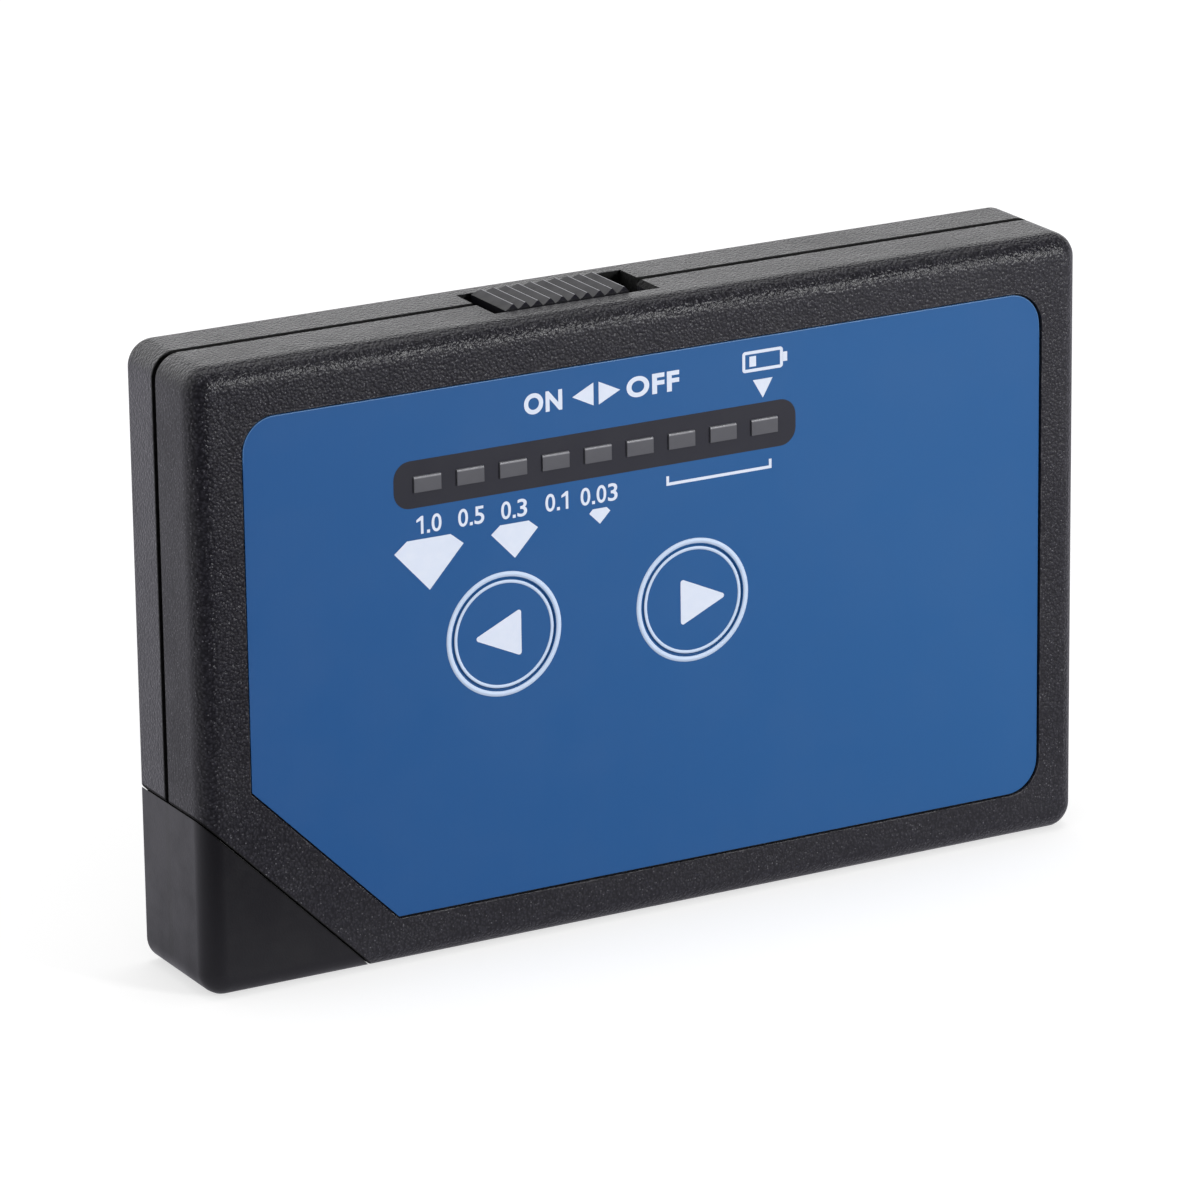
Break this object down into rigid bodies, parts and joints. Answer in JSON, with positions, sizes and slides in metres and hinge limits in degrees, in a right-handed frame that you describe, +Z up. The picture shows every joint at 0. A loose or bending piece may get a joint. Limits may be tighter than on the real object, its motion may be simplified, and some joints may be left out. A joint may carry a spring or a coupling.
{
  "type": "diamond tester",
  "caption": "Flat pocket diamond tester with a film front, bar LEDs, round keys, a ribbed power slide and a copper probe under a pull-off corner cap.",
  "frame": {"origin": "middle of the long bottom edge that the tester stands on, half way through its depth", "axes": "+X to the right as the front is seen, +Y to the back, +Z up; the front faces -Y and the probe corner is at -X -Z"},
  "size_m": [0.0928, 0.0132, 0.0595],
  "materials": {
    "case_plastic": "moulded, fine spark-eroded grain",
    "cap_plastic": "moulded, smooth satin",
    "film": "printed polyester film, satin with faint brushing",
    "led_lens": "smoked diffuse lens, unlit",
    "knob_plastic": "moulded, satin, ribbed",
    "inner_plastic": "moulded black",
    "board": "green solder mask",
    "steel": "plated steel",
    "copper": "turned copper, slightly dulled",
    "battery_jacket": "plain wrapped jacket, no print"
  },
  "bodies": {
    "case": {"front_shell": "case_plastic", "back_shell": "case_plastic", "film_overlay": "film", "bar_led_1": "led_lens", "bar_led_2": "led_lens", "bar_led_3": "led_lens", "bar_led_4": "led_lens", "bar_led_5": "led_lens", "bar_led_6": "led_lens", "bar_led_7": "led_lens", "bar_led_8": "led_lens", "bar_led_9": "led_lens", "tact_switch_left": "inner_plastic", "tact_switch_right": "inner_plastic", "slide_switch": "steel", "circuit_board": "board", "driver_chip": "inner_plastic", "amplifier_chip": "inner_plastic", "buzzer": "inner_plastic", "capacitor": "inner_plastic", "battery": "battery_jacket", "battery_plate_contact": "steel", "battery_spring_contact": "steel", "case_screw_1": "steel", "case_screw_2": "steel", "case_screw_3": "steel", "case_screw_4": "steel", "probe_collar": "cap_plastic", "probe_sleeve": "steel", "probe_spring": "steel"},
    "cap": {"corner_cap": "cap_plastic"},
    "power_slider": {"power_knob": "knob_plastic", "switch_slider": "inner_plastic"},
    "left_key": {"key_left": "film", "tact_plunger_left": "inner_plastic"},
    "right_key": {"key_right": "film", "tact_plunger_right": "inner_plastic"},
    "sprung_tip": {"probe_tip": "copper"},
    "cover": {"battery_cover": "case_plastic"}
  },
  "joints": [
    {"name": "cap_pull", "type": "slide", "parent": "case", "child": "cap", "axis": [-0.7071, 0, -0.7071], "range_m": [0, 0.022]},
    {"name": "power_slide", "type": "slide", "parent": "case", "child": "power_slider", "axis": [1, 0, 0], "range_m": [0, 0.002]},
    {"name": "left_key_press", "type": "slide", "parent": "case", "child": "left_key", "axis": [0, 1, 0], "range_m": [0, 0.0003], "stiffness_N_per_m": 1000, "springref_m": -0.0003},
    {"name": "right_key_press", "type": "slide", "parent": "case", "child": "right_key", "axis": [0, 1, 0], "range_m": [0, 0.0003], "stiffness_N_per_m": 1000, "springref_m": -0.0003},
    {"name": "tip_retract", "type": "slide", "parent": "case", "child": "sprung_tip", "axis": [0.7071, 0, 0.7071], "range_m": [0, 0.001], "stiffness_N_per_m": 400, "springref_m": -0.001, "deforming": ["probe_spring"]},
    {"name": "cover_slide", "type": "slide", "parent": "case", "child": "cover", "axis": [1, 0, 0], "range_m": [0, 0.044]}
  ]
}
